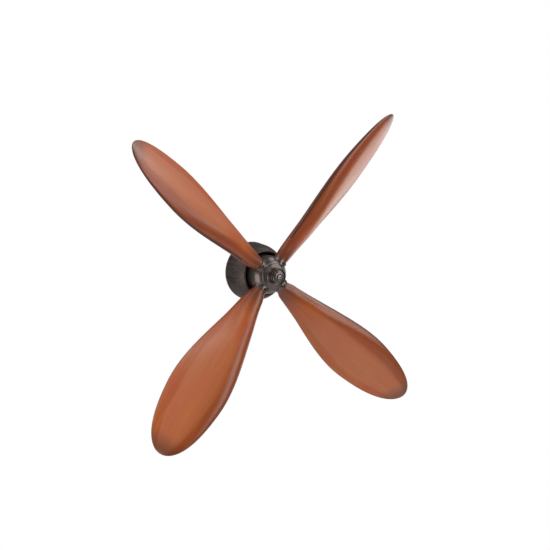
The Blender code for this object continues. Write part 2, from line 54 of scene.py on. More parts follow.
# Sizes in millimetres, the same as the frame's
TIP_RADIUS = 400.0
BLADE_PLANE = -frame["joints"][0]["pos_m"][1] / MM
REST_ANGLE = 48.8  # of the first blade, from +X towards +Z
OFF_QUARTER = (0.0, 1.0, 0.5, -1.5)  # how far each blade is off its exact quarter
BLADE_ANGLES = [REST_ANGLE + 90 * index + off for index, off in enumerate(OFF_QUARTER)]
BLADE_START = 27.3
SOCKET_RADIUS = 13.4
BOSS_RADIUS = 15.2
BOSS_START = 25.2
BOSS_END = 35.6
LOCK_SCREW_PLACE = 31.8
LOCK_SCREW_RADIUS = 2.0
HUB_RADIUS = 37.5
HUB_REAR = 47.0
HUB_FRONT = 85.5
SHOULDER = 24.0
SHOULDER_START = 65.0
DOME_FLANGE = 24.6
NOSE_RING_RADIUS = 15.8
NOSE_RING_BORE = 15.0
NOSE_RING_FRONT = BLADE_PLANE + 32.6
CAP_RADIUS = 13.0
CAP_REAR = BLADE_PLANE + 28.2
CAP_SEAT = CAP_REAR + 4.2
BELL_RIM = 56.2
BELL_CURVE_END = 52.2  # height above the wall where the curve stops, just short of the mouth
BELL_DRAWN_IN = 11.0  # how much narrower the bell is there
BELL_SWEEP = 3.6  # power of that curve: nearly straight at first, then drawn in
BELL_CURVE = tuple(
    (BELL_RIM - BELL_DRAWN_IN * (height / BELL_CURVE_END) ** BELL_SWEEP, height)
    for height in (3.2, 16.0, 30.0, 41.0, 48.0, BELL_CURVE_END)
)
BELL_MOUTH = 53.0
BELL_MOUTH_RADIUS = 41.8
BELL_WALL = 2.6
BELL_SCREW_HEIGHT = 8.0
BELL_SCREW_ANGLES = (30, 150, 270)
PLATE_RADIUS = 52.6
PLATE_HOLE_CIRCLE = 40.0
HOUSING_SCREW_CIRCLE = 25.5

PLATE_RIM = 12.0  # height of its upstand
PLATE_THICKNESS = 3.0
PLATE_RIM_WALL = 2.6

# A blade's shape; shares are of the tip radius
SHANK_WIDTH = 26.0
BELLY_WIDTH = 124.0
BELLY_AT = 0.70
WIDENS_FROM = -0.02
ROUND_UNTIL = 0.09  # share where the shank starts to turn into a blade
FULLY_SHAPED = 0.13
AIRFOIL_FROM = 0.40  # and where it is one
LEANS_FULLY_FROM = 0.30
THINS_FROM = 0.20
THINS_UNTIL = 1.05
TIP_THICKNESS = 13.0
PITCH_AT_AXIS = 34.0
PITCH_AT_TIP = 41.0
TIP_SHARPNESS = 5.7
LEAN_STRAIGHT = 25.0
LEAN_BENT = 14.0
FRONT_CAMBER = 0.4
EDGE_BIAS = 0.6
PLANK_SPACING = 730.0  # between the blades' places in the grain, so that no two look alike

# The studio, in metres and degrees
VIEW_AZIMUTH = -31.9
VIEW_ELEVATION = 8.44
VIEW_DISTANCE = 2.38
VIEW_ASIDE = 0.0102  # how far right of the shaft the camera aims
VIEW_LENS = 81.03  # in millimetres
LIGHT_DISTANCE = 2.6
FLOOR_RADIUS = 2.6
FLOOR_HEIGHT = -1.6

TURNED_SIDES = 160


# ---------------------------------------------------------------- building nodes


def add(tree, kind, inputs=None, **settings):
    """Adds a node with its settings; inputs maps a socket's name or number to a value or to a socket."""
    node = tree.nodes.new(kind)
    for name, value in settings.items():
        setattr(node, name, value)
    for name, value in (inputs or {}).items():
        if isinstance(value, bpy.types.NodeSocket):
            tree.links.new(value, node.inputs[name])
        else:
            node.inputs[name].default_value = value
    return node


def colour(hex_value):
    """A colour's sRGB hex value as linear red, green, blue and alpha."""
    shares = [int(hex_value[i : i + 2], 16) / 255 for i in (1, 3, 5)]
    return (*(c / 12.92 if c < 0.04045 else ((c + 0.055) / 1.055) ** 2.4 for c in shares), 1.0)


def new_material(name):
    """A material with its node tree, its Principled shader, and a fine noise's coordinates in metres."""
    made = bpy.data.materials.new(name)
    made.use_nodes = True
    tree = made.node_tree
    place = add(tree, "ShaderNodeTexCoord").outputs["Object"]
    return made, tree, tree.nodes["Principled BSDF"], place


def per_metre(millimetres):
    """A texture's scale for a pattern of this size."""
    return 1 / (millimetres * MM)


# ---------------------------------------------------------------- finishes


def varnished_mahogany():
    """Carved mahogany under a red-brown stain and a rubbed satin varnish. Its long pores run along each
    blade. It is darker towards the root and the tip, painted shade darkens the leading side, a thin dark
    line follows the edges, and the broad flat of each blade is paler: partly bloom, partly painted reflection."""
    made, tree, shader, _ = new_material("stained_varnished_mahogany")
    place = add(tree, "ShaderNodeAttribute", attribute_name="grain_place").outputs["Vector"]
    lead = add(tree, "ShaderNodeAttribute", attribute_name="to_lead").outputs["Fac"]
    edge = add(tree, "ShaderNodeMath", {0: lead}, operation="ABSOLUTE").outputs[0]
    tip = add(tree, "ShaderNodeAttribute", attribute_name="to_tip").outputs["Fac"]

    def patches(along, across, detail):
        """Soft patches of these sizes in millimetres, stretched along the blade."""
        way = (per_metre(along), per_metre(across), per_metre(across))
        stretched = add(tree, "ShaderNodeMapping", {"Vector": place, "Scale": way}).outputs[0]
        inputs = {"Vector": stretched, "Scale": 1.0, "Detail": detail}
        return add(tree, "ShaderNodeTexNoise", inputs).outputs["Fac"]

    def between(value, low, high, first, last):
        """The value's place between low and high, as a smooth step from first to last."""
        limits = {"Value": value, "From Min": low, "From Max": high, "To Min": first, "To Max": last}
        return add(tree, "ShaderNodeMapRange", limits, interpolation_type="SMOOTHSTEP").outputs[0]

    def stained(under, amount, over):
        mixed = {"Factor": amount, "A": under, "B": colour(over)}
        return add(tree, "ShaderNodeMix", mixed, data_type="RGBA").outputs[2]

    figure = patches(160, 9, 3.0)
    clouds = patches(90, 45, 2.0)
    # Pores 0.9 mm wide, coarser than real ones so that they show
    pores = patches(25, 0.9, 2.0)

    heart = add(tree, "ShaderNodeValToRGB", {"Fac": figure})
    heart.color_ramp.elements[0].position = 0.3
    heart.color_ramp.elements[0].color = colour("#9C4A18")
    heart.color_ramp.elements[1].position = 0.7
    heart.color_ramp.elements[1].color = colour("#AE591F")
    wood = stained(heart.outputs["Color"], between(clouds, 0.42, 0.62, 0.0, 0.7), "#A54619")
    # A paler patch on the broad flat of each blade, away from its edges: partly the varnish's bloom, partly a
    # painted reflection
    wandering = add(
        tree, "ShaderNodeMath", {0: clouds, 1: 0.35, 2: edge}, operation="MULTIPLY_ADD"
    ).outputs[0]
    flat = between(wandering, 0.72, 0.82, 0.46, 0.0)
    broad = between(tip, 0.24, 0.42, 0.0, 1.0)
    bloom_and_painted_reflection = add(tree, "ShaderNodeMath", {0: flat, 1: broad}, operation="MULTIPLY").outputs[0]
    wood = stained(wood, bloom_and_painted_reflection, "#B46C48")
    # Painted shade: the leading side is darkened to stand in for the shade on its rounded edge
    wood = stained(wood, between(lead, 0.35, 0.85, 0.0, 0.55), "#6E2C0E")
    wood = stained(wood, between(pores, 0.56, 0.75, 0.0, 0.16), "#4A1E10")
    # Darker towards the root and towards the tip
    wood = stained(wood, between(tip, 0.10, 0.25, 0.72, 0.0), "#4A2113")
    wood = stained(wood, between(tip, 0.89, 0.99, 0.0, 0.75), "#54301F")
    wood = stained(wood, between(edge, 0.962, 0.995, 0.0, 0.85), "#3A1E14")
    tree.links.new(wood, shader.inputs["Base Color"])
    rubbed = between(clouds, 0.3, 0.7, 0.28, 0.36)
    tree.links.new(rubbed, shader.inputs["Roughness"])
    grooves = add(tree, "ShaderNodeBump", {"Height": pores, "Strength": 0.06, "Distance": 0.0002})
    tree.links.new(grooves.outputs[0], shader.inputs["Normal"])
    return made


def blackened_casting():
    """Cast iron, shot-blasted, blackened and waxed: a fine orange-peel skin with dull grey high spots and
    browner hollows."""
    made, tree, shader, place = new_material("blackened_iron_casting")
    # The sand's grit leaves bumps about 1.1 mm apart, on swells 7 mm across
    grit = add(tree, "ShaderNodeTexNoise", {"Vector": place, "Scale": per_metre(1.1), "Detail": 3.0})
    swells = add(tree, "ShaderNodeTexNoise", {"Vector": place, "Scale": per_metre(7), "Detail": 2.0})
    tone = add(tree, "ShaderNodeValToRGB", {"Fac": swells.outputs["Fac"]})
    tone.color_ramp.elements[0].position = 0.35
    tone.color_ramp.elements[0].color = colour("#5A504D")
    tone.color_ramp.elements[1].position = 0.65
    tone.color_ramp.elements[1].color = colour("#675D59")
    tree.links.new(tone.outputs["Color"], shader.inputs["Base Color"])
    sheen = add(tree, "ShaderNodeMapRange", {"Value": grit.outputs["Fac"], "To Min": 0.24, "To Max": 0.36})
    tree.links.new(sheen.outputs[0], shader.inputs["Roughness"])
    grain_of_sand = {"Height": grit.outputs["Fac"], "Strength": 0.12, "Distance": 0.0003}
    skin = add(tree, "ShaderNodeBump", grain_of_sand)
    swell = add(
        tree,
        "ShaderNodeBump",
        {
            "Height": swells.outputs["Fac"],
            "Strength": 0.1,
            "Distance": 0.0008,
            "Normal": skin.outputs[0],
        },
    )
    tree.links.new(swell.outputs[0], shader.inputs["Normal"])
    shader.inputs["Metallic"].default_value = 0.9
    return made


def blued_spun_steel():
    """Mild steel spun over a former and blued: a satin brown-grey with faint streaks along the draw and rings
    left by the spinning tool."""
    made, tree, shader, place = new_material("blued_spun_steel")
    # Streaks run from rim to mouth, 3 mm apart and 40 mm long
    draw = (per_metre(3), per_metre(40), per_metre(3))
    drawn = add(tree, "ShaderNodeMapping", {"Vector": place, "Scale": draw})
    streaks = add(tree, "ShaderNodeTexNoise", {"Vector": drawn.outputs[0], "Scale": 1.0, "Detail": 3.0})
    # Tool rings 1.2 mm apart, along the shaft's axis
    rings = add(
        tree,
        "ShaderNodeTexWave",
        {"Vector": place, "Scale": per_metre(1.2) / 20, "Distortion": 1.0, "Detail": 1.0},
        wave_type="BANDS",
        bands_direction="Y",
    )
    patina = add(tree, "ShaderNodeValToRGB", {"Fac": streaks.outputs["Fac"]})
    patina.color_ramp.elements[0].position = 0.32
    patina.color_ramp.elements[0].color = colour("#3F3736")
    patina.color_ramp.elements[1].position = 0.7
    patina.color_ramp.elements[1].color = colour("#584E4A")
    tree.links.new(patina.outputs["Color"], shader.inputs["Base Color"])
    dull = add(
        tree, "ShaderNodeMapRange", {"Value": streaks.outputs["Fac"], "To Min": 0.42, "To Max": 0.62}
    )
    tree.links.new(dull.outputs[0], shader.inputs["Roughness"])
    spun_rings = {"Height": rings.outputs["Fac"], "Strength": 0.1, "Distance": 0.0001}
    lines = add(tree, "ShaderNodeBump", spun_rings)
    tree.links.new(lines.outputs[0], shader.inputs["Normal"])
    shader.inputs["Metallic"].default_value = 0.85
    return made


def turned_steel():
    """Plain carbon steel off the lathe: bright grey with fine tool marks across it."""
    made, tree, shader, place = new_material("turned_steel")
    # Tool marks 0.4 mm apart
    marks = add(tree, "ShaderNodeTexNoise", {"Vector": place, "Scale": per_metre(0.4), "Detail": 2.0})
    tone = add(tree, "ShaderNodeValToRGB", {"Fac": marks.outputs["Fac"]})
    tone.color_ramp.elements[0].color = colour("#6E6B68")
    tone.color_ramp.elements[1].color = colour("#9C9995")
    tree.links.new(tone.outputs["Color"], shader.inputs["Base Color"])
    fine = add(tree, "ShaderNodeMapRange", {"Value": marks.outputs["Fac"], "To Min": 0.2, "To Max": 0.38})
    tree.links.new(fine.outputs[0], shader.inputs["Roughness"])
    shader.inputs["Metallic"].default_value = 1.0
    return made


def black_oxide_steel():
    """Steel with a black oxide skin, oiled: near black, with a slightly rubbed, mottled gloss."""
    made, tree, shader, place = new_material("black_oxide_steel")
    # The skin is mottled in patches 2.5 mm across
    mottle = add(tree, "ShaderNodeTexNoise", {"Vector": place, "Scale": per_metre(2.5), "Detail": 4.0})
    tone = add(tree, "ShaderNodeValToRGB", {"Fac": mottle.outputs["Fac"]})
    tone.color_ramp.elements[0].position = 0.3
    tone.color_ramp.elements[0].color = colour("#26231F")
    tone.color_ramp.elements[1].position = 0.75
    tone.color_ramp.elements[1].color = colour("#4B4844")
    tree.links.new(tone.outputs["Color"], shader.inputs["Base Color"])
    oil = add(tree, "ShaderNodeMapRange", {"Value": mottle.outputs["Fac"], "To Min": 0.3, "To Max": 0.5})
    tree.links.new(oil.outputs[0], shader.inputs["Roughness"])
    shader.inputs["Metallic"].default_value = 0.9
    return made


def pressed_felt():
    """Grey-black wool felt, pressed: matt, with a soft fuzz of fibres that lightens its edge."""
    made, tree, shader, place = new_material("pressed_wool_felt")
    # Fibres mat together in tufts 0.8 mm across
    tufts = add(tree, "ShaderNodeTexNoise", {"Vector": place, "Scale": per_metre(0.8), "Detail": 5.0})
    tone = add(tree, "ShaderNodeValToRGB", {"Fac": tufts.outputs["Fac"]})
    tone.color_ramp.elements[0].color = colour("#1E1B18")
    tone.color_ramp.elements[1].color = colour("#45403A")
    tree.links.new(tone.outputs["Color"], shader.inputs["Base Color"])
    nap = add(tree, "ShaderNodeBump", {"Height": tufts.outputs["Fac"], "Strength": 0.6, "Distance": 0.0004})
    tree.links.new(nap.outputs[0], shader.inputs["Normal"])
    shader.inputs["Roughness"].default_value = 0.95
    shader.inputs["Sheen Weight"].default_value = 0.4
    return made


def white_paper():
    """Matt seamless studio paper, almost white."""
    made, tree, shader, place = new_material("seamless_paper")
    # Faint unevenness, 200 mm across
    uneven = add(tree, "ShaderNodeTexNoise", {"Vector": place, "Scale": per_metre(200), "Detail": 1.0})
    tone = add(tree, "ShaderNodeValToRGB", {"Fac": uneven.outputs["Fac"]})
    tone.color_ramp.elements[0].color = colour("#F3F2F0")
    tone.color_ramp.elements[1].color = colour("#F8F7F6")
    tree.links.new(tone.outputs["Color"], shader.inputs["Base Color"])
    shader.inputs["Roughness"].default_value = 0.9
    return made


FINISHES = {
    "stained_wood": varnished_mahogany(),
    "cast_metal": blackened_casting(),
    "bell_metal": blued_spun_steel(),
    "bright_steel": turned_steel(),
    "dark_steel": black_oxide_steel(),
    "felt": pressed_felt(),
}


# ---------------------------------------------------------------- shapes


def rounded(profile, radius, steps=4):
    """A closed profile of (radius, height) points with each corner off the axis turned into an arc."""
    points = []
    for before, here, after in zip(profile[-1:] + profile[:-1], profile, profile[1:] + profile[:1]):
        here = Vector(here)
        back, on = Vector(before) - here, Vector(after) - here
        spread = back.angle(on)
        if here.x < 1e-6 or spread > math.radians(150):
            points.append(tuple(here))
            continue
        reach = min(radius / math.tan(spread / 2), back.length * 0.45, on.length * 0.45)
        first, last = here + back.normalized() * reach, here + on.normalized() * reach
        for step in range(steps + 1):
            t = step / steps
            point = first.lerp(here, t).lerp(here.lerp(last, t), t)
            points.append(tuple(point))
    return points


def turned(name, profile, sides=TURNED_SIDES, round_off=0.4):
    """A closed profile turned round the z axis, with its corners rounded off."""
    outline = rounded([tuple(map(float, p)) for p in profile], round_off) if round_off else profile
    bm = bmesh.new()
    points = [bm.verts.new((radius, 0, height)) for radius, height in outline]
    pairs = [p for p in zip(points, points[1:] + points[:1]) if p[0].co.x + p[1].co.x > 1e-6]
    edges = [bm.edges.new(pair) for pair in pairs]
    bmesh.ops.spin(
        bm, geom=points + edges, cent=(0, 0, 0), axis=(0, 0, 1), angle=math.tau, steps=sides
    )
    return mesh_from(name, bm)


def rod(name, radius, start, end, sides=64, turn=3.0):
    """A round or many-sided rod along z, used to cut holes."""
    bm = bmesh.new()
    angles = [math.tau * i / sides + math.radians(turn) for i in range(sides)]
    bottom = [bm.verts.new((radius * math.cos(a), radius * math.sin(a), start)) for a in angles]
    lifted = bmesh.ops.extrude_face_region(bm, geom=[bm.faces.new(bottom)])["geom"]
    top = [item for item in lifted if isinstance(item, bmesh.types.BMVert)]
    bmesh.ops.translate(bm, vec=(0, 0, end - start), verts=top)
    return mesh_from(name, bm)


def mesh_from(name, bm):
    bmesh.ops.remove_doubles(bm, verts=bm.verts, dist=1e-4)
    bmesh.ops.recalc_face_normals(bm, faces=bm.faces)
    mesh = bpy.data.meshes.new(name)
    bm.to_mesh(mesh)
    bm.free()
    mesh.shade_smooth()
    mesh.set_sharp_from_angle(angle=math.radians(32))
    return mesh


def linked(name, mesh, matrix=None):
    made = bpy.data.objects.new(name, mesh)
    bpy.context.scene.collection.objects.link(made)
    if matrix is not None:
        made.matrix_world = matrix
    return made


def baked(made):
    """The object's mesh with its modifiers applied, as a plain mesh."""
    evaluated = made.evaluated_get(bpy.context.evaluated_depsgraph_get())
    mesh = bpy.data.meshes.new_from_object(evaluated)
    mesh.name = made.name
    return mesh


def combined(mesh, others, operation="DIFFERENCE"):
    """The mesh with each other (mesh, matrix) taken away, or joined on."""
    made = linked(mesh.name + "_blank", mesh)
    tools = [linked(f"{mesh.name}_drill_{i}", tool, place) for i, (tool, place) in enumerate(others)]
    for tool in tools:
        modifier = made.modifiers.new(tool.name, "BOOLEAN")
        modifier.operation = operation
        modifier.object = tool
        modifier.solver = "EXACT"
    bpy.context.view_layer.update()
    result = baked(made)
    for spent in [made, *tools]:
        bpy.data.objects.remove(spent)
    result.set_sharp_from_angle(angle=math.radians(32))
    return result


def piece(name, mesh, body, slot, *nodes):
    """Puts a finished mesh in the model's own frame, on its body, in place of the frame's nodes."""
    mesh.transform(MAKE_REAL)
    made = linked(name, mesh)
    made.data.materials.clear()
    made.data.materials.append(FINISHES[slot])
    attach(made, body)
    if nodes:
        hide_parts(*nodes)
    return made


def about_axis(angle):
    return Matrix.Rotation(math.radians(angle), 4, "Z")


def radial(angle, height=0.0):
    """Takes a shape drawn along z to one that points away from the shaft at this angle and height."""
    lay_down = Matrix.Rotation(math.radians(90), 4, "Y")
    return about_axis(angle) @ Matrix.Translation((0, 0, height)) @ lay_down


def on_circle(radius, angle, height=0.0):
    return about_axis(angle) @ Matrix.Translation((radius, 0, height))


# ---------------------------------------------------------------- geometry nodes


def new_tree(name, inputs):
    """An empty geometry node tree with these (name, socket type) inputs, and its input and output nodes."""
    tree = bpy.data.node_groups.new(name, "GeometryNodeTree")
    tree.interface.new_socket("Geometry", in_out="INPUT", socket_type="NodeSocketGeometry")
    for label, kind in inputs:
        tree.interface.new_socket(label, in_out="INPUT", socket_type=kind)
    tree.interface.new_socket("Geometry", in_out="OUTPUT", socket_type="NodeSocketGeometry")
    return tree, add(tree, "NodeGroupInput").outputs, add(tree, "NodeGroupOutput")


def grown(name, tree, values):
    """A plain mesh made by a node tree, with its named inputs set to these values."""
    made = linked(name + "_seed", bpy.data.meshes.new(name + "_seed"))
    modifier = made.modifiers.new(tree.name, "NODES")
    modifier.node_group = tree
    for item in tree.interface.items_tree:
        if item.in_out == "INPUT" and item.name in values:
            modifier[item.identifier] = values[item.name]
    bpy.context.view_layer.update()
    mesh = baked(made)
    mesh.name = name
    bpy.data.objects.remove(made)
    return mesh


def blade_tree():
    """A blade from its rule: how width, thickness, pitch and lean change from the root to the tip."""
    number, whole = "NodeSocketFloat", "NodeSocketInt"
    tree, given, result = new_tree(
        "Carved Blade",
        [
            ("Rings", whole),
            ("Sides", whole),
            ("Tip Radius", number),
            ("Start Radius", number),
            ("Shank Width", number),
            ("Belly Width", number),
            ("Tip Thickness", number),
            ("Pitch At Axis", number),
            ("Pitch At Tip", number),
            ("Straight Lean", number),
            ("Lean Bow", number),
            ("Tip Sharpness", number),
            ("Front Camber", number),
            ("Edge Bias", number),
            ("Blade Angle", number),
            ("Blade Plane", number),
            ("Plank", number),
            ("Finish", "NodeSocketMaterial"),
        ],
    )

    def calc(operation, *values):
        """One step of arithmetic, as the output of a Math node."""
        return add(tree, "ShaderNodeMath", dict(enumerate(values)), operation=operation).outputs[0]

    def ease(start, end):
        """0 before this share of the tip radius, 1 after that one, and a smooth step between them."""
        limits = {"Value": share, "From Min": start, "From Max": end}
        return add(tree, "ShaderNodeMapRange", limits, interpolation_type="SMOOTHSTEP").outputs[0]

    def between(first, last, amount):
        return calc("ADD", first, calc("MULTIPLY", calc("SUBTRACT", last, first), amount))

    grid = add(
        tree,
        "GeometryNodeMeshGrid",
        {"Size X": 1.0, "Size Y": 1.0, "Vertices X": given["Rings"], "Vertices Y": given["Sides"]},
    )
    flat = add(tree, "GeometryNodeInputPosition").outputs[0]
    split = add(tree, "ShaderNodeSeparateXYZ", {"Vector": flat})
    along = calc("ADD", split.outputs["X"], 0.5)
    turn = calc("MULTIPLY", calc("ADD", split.outputs["Y"], 0.5), math.tau)

    # Rings crowd together towards the tip
    first = calc("DIVIDE", given["Start Radius"], given["Tip Radius"])
    crowded = calc("SUBTRACT", 1.0, calc("POWER", calc("SUBTRACT", 1.0, along), 1.8))
    share = calc("ADD", first, calc("MULTIPLY", calc("SUBTRACT", 1.0, first), crowded))
    closing = calc("SQRT", calc("SUBTRACT", 1.0, calc("POWER", share, given["Tip Sharpness"])))
    ended = calc("MULTIPLY", closing, calc("GREATER_THAN", along, 0.0001))

    swell = calc("MULTIPLY", ease(WIDENS_FROM, BELLY_AT), ease(ROUND_UNTIL, FULLY_SHAPED))
    width = between(given["Shank Width"], given["Belly Width"], swell)
    half_width = calc("MULTIPLY", calc("MULTIPLY", width, ended), 0.5)
    thickness = between(given["Shank Width"], given["Tip Thickness"], ease(THINS_FROM, THINS_UNTIL))
    half_depth = calc("MULTIPLY", calc("MULTIPLY", thickness, ended), 0.5)
    wing = ease(ROUND_UNTIL, AIRFOIL_FROM)
    camber = calc("MULTIPLY", given["Front Camber"], wing)
    cosine, sine = calc("COSINE", turn), calc("SINE", turn)
    across = calc("MULTIPLY", half_width, cosine)
    egg = calc("ADD", 1.0, calc("MULTIPLY", calc("MULTIPLY", given["Edge Bias"], wing), cosine))
    side = calc("ADD", 1.0, calc("MULTIPLY", camber, calc("SIGN", sine)))
    bulge = calc("MULTIPLY", calc("MULTIPLY", sine, egg), side)
    through = calc("MULTIPLY", half_depth, bulge)

    out = calc("MULTIPLY", share, given["Tip Radius"])
    section = add(tree, "ShaderNodeCombineXYZ", {"X": out, "Y": across, "Z": through}).outputs[0]
    pitch = add(
        tree,
        "ShaderNodeMapRange",
        {"Value": share, "To Min": given["Pitch At Axis"], "To Max": given["Pitch At Tip"]},
    ).outputs[0]
    pitched = add(
        tree, "ShaderNodeVectorRotate", {"Vector": section, "Angle": pitch}, rotation_type="X_AXIS"
    ).outputs[0]
    lifting = ease(ROUND_UNTIL, LEANS_FULLY_FROM)
    bow = calc("MULTIPLY", calc("POWER", share, 2.0), given["Lean Bow"])
    lean = calc("MULTIPLY", calc("ADD", calc("MULTIPLY", share, given["Straight Lean"]), bow), lifting)
    forward = add(tree, "ShaderNodeCombineXYZ", {"Z": calc("ADD", lean, given["Blade Plane"])}).outputs[0]
    placed = add(tree, "ShaderNodeVectorMath", {0: pitched, 1: forward}, operation="ADD").outputs[0]
    aimed = add(
        tree,
        "ShaderNodeVectorRotate",
        {"Vector": placed, "Angle": given["Blade Angle"]},
        rotation_type="Z_AXIS",
    ).outputs[0]

    # What the wood's grain, stains, painted shade and painted reflection follow
    beyond_root = ease(0.10, 0.20)
    plank = add(tree, "ShaderNodeCombineXYZ", {"X": given["Plank"], "Y": given["Plank"]}).outputs[0]
    sawn = add(tree, "ShaderNodeVectorMath", {0: section, 1: plank}, operation="ADD").outputs[0]
    sawn = add(tree, "ShaderNodeVectorMath", {0: sawn, "Scale": MM}, operation="SCALE").outputs[0]
    geometry = grid.outputs["Mesh"]
    for label, kind, value in (
        ("grain_place", "FLOAT_VECTOR", sawn),
        ("to_lead", "FLOAT", calc("MULTIPLY", cosine, beyond_root)),
        ("to_tip", "FLOAT", share),
    ):
        stored = add(
            tree,
            "GeometryNodeStoreNamedAttribute",
            {"Geometry": geometry, "Name": label},
            data_type=kind,
            domain="POINT",
        )
        socket = next(s for s in stored.inputs if s.name == "Value" and s.enabled)
        tree.links.new(value, socket)
        geometry = stored.outputs["Geometry"]

    shaped = add(tree, "GeometryNodeSetPosition", {"Geometry": geometry, "Position": aimed})
    sealed = add(
        tree, "GeometryNodeMergeByDistance", {"Geometry": shaped.outputs[0], "Distance": 0.001}
    )
    smooth = add(tree, "GeometryNodeSetShadeSmooth", {"Geometry": sealed.outputs[0]})
    real = add(tree, "GeometryNodeRealizeInstances", {"Geometry": smooth.outputs[0]})
    painted = add(
        tree, "GeometryNodeSetMaterial", {"Geometry": real.outputs[0], "Material": given["Finish"]}
    )
    tree.links.new(painted.outputs[0], result.inputs["Geometry"])
    return tree


def screw_ring_tree():
    """Copies of one screw, standing on a circle round the shaft or pointing away from it."""
    number = "NodeSocketFloat"
    tree, given, result = new_tree(
        "Screw Ring",
        [
            ("Screw", "NodeSocketObject"),
            ("Count", "NodeSocketInt"),
            ("Circle Radius", number),
            ("Height", number),
            ("First Angle", number),
            ("Tilt", number),
            ("Finish", "NodeSocketMaterial"),
        ],
    )
    ring = add(
        tree,
        "GeometryNodeMeshCircle",
        {"Vertices": given["Count"], "Radius": given["Circle Radius"]},
    )
    index = add(tree, "GeometryNodeInputIndex").outputs[0]
    step = add(tree, "ShaderNodeMath", {0: math.tau, 1: given["Count"]}, operation="DIVIDE").outputs[0]
    angle = add(tree, "ShaderNodeMath", {0: index, 1: step}, operation="MULTIPLY").outputs[0]
    turn = add(tree, "ShaderNodeCombineXYZ", {"Y": given["Tilt"], "Z": angle}).outputs[0]
    screw = add(tree, "GeometryNodeObjectInfo", {"Object": given["Screw"]}).outputs["Geometry"]
    copies = add(
        tree,
        "GeometryNodeInstanceOnPoints",
        {"Points": ring.outputs["Mesh"], "Instance": screw, "Rotation": turn},
    ).outputs[0]
    lift = add(tree, "ShaderNodeCombineXYZ", {"Z": given["Height"]}).outputs[0]
    first = add(tree, "ShaderNodeCombineXYZ", {"Z": given["First Angle"]}).outputs[0]
    placed = add(
        tree,
        "GeometryNodeTransform",
        {"Geometry": copies, "Translation": lift, "Rotation": first},
    ).outputs[0]
    real = add(tree, "GeometryNodeRealizeInstances", {"Geometry": placed}).outputs[0]
    painted = add(
        tree, "GeometryNodeSetMaterial", {"Geometry": real, "Material": given["Finish"]}
    ).outputs[0]
    tree.links.new(painted, result.inputs["Geometry"])
    return tree


# ---------------------------------------------------------------- pieces


def make_blades():
    tree = blade_tree()
    for number, angle in enumerate(BLADE_ANGLES, 1):
        mesh = grown(
            f"varnished_blade_{number}",
            tree,
            {
                "Rings": 150,
                "Sides": 97,
                "Tip Radius": TIP_RADIUS,
                "Start Radius": BLADE_START,
                "Shank Width": SHANK_WIDTH,
                "Belly Width": BELLY_WIDTH,
                "Tip Thickness": TIP_THICKNESS,
                "Pitch At Axis": math.radians(PITCH_AT_AXIS),
                "Pitch At Tip": math.radians(PITCH_AT_TIP),
                "Straight Lean": LEAN_STRAIGHT,
                "Lean Bow": LEAN_BENT,
                "Tip Sharpness": TIP_SHARPNESS,
                "Front Camber": FRONT_CAMBER,
                "Edge Bias": EDGE_BIAS,
                "Blade Angle": math.radians(angle),
                "Blade Plane": BLADE_PLANE,
                "Plank": PLANK_SPACING * number,
                "Finish": FINISHES["stained_wood"],
            },
        )
        piece(mesh.name, mesh, "rotor", "stained_wood", f"blade_{number}")


def make_hub():
    bore, recess = 6.3, 22.0
    floor = HUB_REAR + 6
    bend = math.asin((HUB_FRONT - SHOULDER_START) / SHOULDER)
    shoulder = [
        (
            HUB_RADIUS - SHOULDER + SHOULDER * math.cos(bend * step / 14),
            SHOULDER_START + SHOULDER * math.sin(bend * step / 14),
        )
        for step in range(15)
    ]
    profile = [
        (bore, floor),
        (recess, floor),
        (recess, HUB_REAR),
        (HUB_RADIUS, HUB_REAR),
        *shoulder,
        (bore, HUB_FRONT),
    ]
    barrel = turned("hub_barrel", profile, round_off=0.8)
    collar = [(0, BOSS_START), (BOSS_RADIUS, BOSS_START), (BOSS_RADIUS, BOSS_END), (0, BOSS_END)]
    boss = turned("boss", collar, 96, 1.2)
    bosses = [(boss, radial(angle, BLADE_PLANE)) for angle in BLADE_ANGLES]
    cast = combined(barrel, bosses, "UNION")
    socket = rod("socket", SOCKET_RADIUS, 27.0, 50.0, 96)
    lock_hole = rod("lock_hole", LOCK_SCREW_RADIUS + 0.3, 8.0, 20.0, 24)
    cutters = []
    for angle in BLADE_ANGLES:
        cutters.append((socket, radial(angle, BLADE_PLANE)))
        cutters.append((lock_hole, on_circle(LOCK_SCREW_PLACE, angle, BLADE_PLANE)))
    piece("hub_casting", combined(cast, cutters), "rotor", "cast_metal", "hub")


